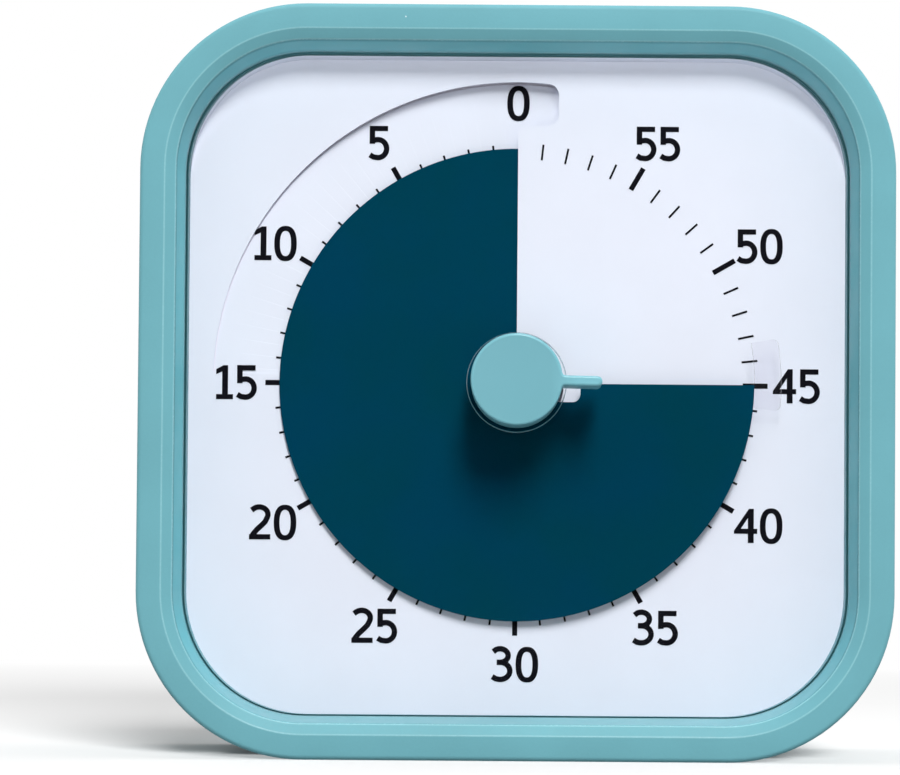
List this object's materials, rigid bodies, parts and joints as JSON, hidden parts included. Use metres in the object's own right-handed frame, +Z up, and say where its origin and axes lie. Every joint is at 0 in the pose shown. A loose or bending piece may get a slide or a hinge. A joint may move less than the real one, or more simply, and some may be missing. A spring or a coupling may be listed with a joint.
{
  "type": "visual countdown timer",
  "caption": "Square desk timer in a soft cover, whose thin coloured disk winds out of a slit in the dial with a centre knob and shows the minutes left.",
  "frame": {"origin": "middle of the bounding box's base, on the surface that the timer stands on", "axes": "+Z up, +X to the right seen from the front, -Y out of the dial towards the viewer"},
  "size_m": [0.094, 0.054, 0.094],
  "materials": {
    "cover_silicone": "soft matt silicone",
    "housing_plastic": "satin moulded plastic",
    "lens_clear": "clear polished acrylic",
    "dial_white": "printed matt sheet",
    "ink_black": "screen printed ink",
    "carrier_white": "moulded",
    "disk_petrol": "smooth film",
    "film_clear": "clear film",
    "hub_black": "moulded",
    "knob_teal": "satin moulded plastic",
    "shaft_steel": "turned",
    "screw_steel": "zinc plated",
    "movement_white": "moulded",
    "wheel_brass": "stamped",
    "wheel_nylon": "moulded nylon",
    "magnet_dark": "sintered",
    "coil_copper": "enamelled copper wire",
    "board_green": "solder mask",
    "chip_black": "moulded",
    "battery_wrap": "plain printed wrap",
    "contact_nickel": "nickel plated spring steel",
    "lead_red": "soft insulation",
    "lead_black": "soft insulation",
    "slider_white": "moulded"
  },
  "bodies": {
    "case": {"silicone_cover": "cover_silicone", "front_housing": "housing_plastic", "rear_housing": "housing_plastic", "housing_screws": "screw_steel", "lens": "lens_clear", "dial_face": "dial_white", "dial_ticks": "ink_black", "dial_numerals": "ink_black", "dial_carrier": "carrier_white", "movement_front_case": "movement_white", "movement_rear_case": "movement_white", "movement_screws": "screw_steel", "alarm_contact": "wheel_brass", "stator_plate": "shaft_steel", "coil_core": "shaft_steel", "coil_bobbin": "hub_black", "coil_winding": "coil_copper", "circuit_board": "board_green", "timer_chip": "chip_black", "quartz_crystal": "shaft_steel", "battery": "battery_wrap", "battery_contact_positive": "contact_nickel", "battery_contact_negative": "contact_nickel", "battery_leads": "lead_red", "buzzer_leads": "lead_black", "buzzer": "chip_black", "sound_switch": "contact_nickel"},
    "knob_and_spindle": {"knob": "knob_teal", "spindle": "shaft_steel", "clutch_spring": "wheel_brass", "clutch_clip": "shaft_steel", "alarm_cam": "wheel_nylon"},
    "disk_and_hub": {"timer_disk": "disk_petrol", "disk_tab": "film_clear", "disk_hub": "hub_black"},
    "fourth_wheel_arbor": {"fourth_wheel": "wheel_nylon"},
    "rotor": {"rotor_shaft": "wheel_nylon", "rotor_magnet": "magnet_dark"},
    "intermediate_arbor": {"intermediate_wheel": "wheel_nylon"},
    "third_arbor": {"third_wheel": "wheel_nylon"},
    "centre_arbor": {"centre_wheel": "wheel_brass"},
    "battery_door": {"battery_door": "housing_plastic"},
    "sound_slider": {"sound_slider": "slider_white"}
  },
  "joints": [
    {"name": "knob_turn", "type": "hinge", "parent": "case", "child": "knob_and_spindle", "pos_m": [0, 0, 0.0473], "axis": [0, -1, 0], "range_deg": [-270, 90]},
    {"name": "disk_climb", "type": "slide", "parent": "knob_and_spindle", "child": "disk_and_hub", "axis": [0, -1, 0], "range_m": [-0.00226, 0.00076]},
    {"name": "fourth_wheel_spin", "type": "hinge", "parent": "case", "child": "fourth_wheel_arbor", "pos_m": [-0.01567, 0, 0.05245], "axis": [0, -1, 0], "continuous": true},
    {"name": "rotor_spin", "type": "hinge", "parent": "case", "child": "rotor", "pos_m": [-0.00373, 0, 0.06003], "axis": [0, -1, 0], "continuous": true},
    {"name": "intermediate_wheel_spin", "type": "hinge", "parent": "case", "child": "intermediate_arbor", "pos_m": [-0.01058, 0, 0.05754], "axis": [0, -1, 0], "continuous": true},
    {"name": "third_wheel_spin", "type": "hinge", "parent": "case", "child": "third_arbor", "pos_m": [-0.01218, 0, 0.04287], "axis": [0, -1, 0], "continuous": true},
    {"name": "centre_wheel_spin", "type": "hinge", "parent": "case", "child": "centre_arbor", "pos_m": [0, 0, 0.0473], "axis": [0, -1, 0], "continuous": true},
    {"name": "battery_door_lift", "type": "slide", "parent": "case", "child": "battery_door", "axis": [0, 1, 0], "range_m": [0, 0.03]},
    {"name": "sound_switch_slide", "type": "slide", "parent": "case", "child": "sound_slider", "axis": [1, 0, 0], "range_m": [0, 0.003]}
  ],
  "couplings": [
    {"joint": "disk_climb", "follows": "knob_turn", "m_per_rad": 0.00047746},
    {"joint": "intermediate_wheel_spin", "follows": "fourth_wheel_spin", "ratio": -5},
    {"joint": "rotor_spin", "follows": "fourth_wheel_spin", "ratio": 30},
    {"joint": "third_wheel_spin", "follows": "fourth_wheel_spin", "ratio": -0.13333},
    {"joint": "centre_wheel_spin", "follows": "fourth_wheel_spin", "ratio": 0.016667}
  ]
}
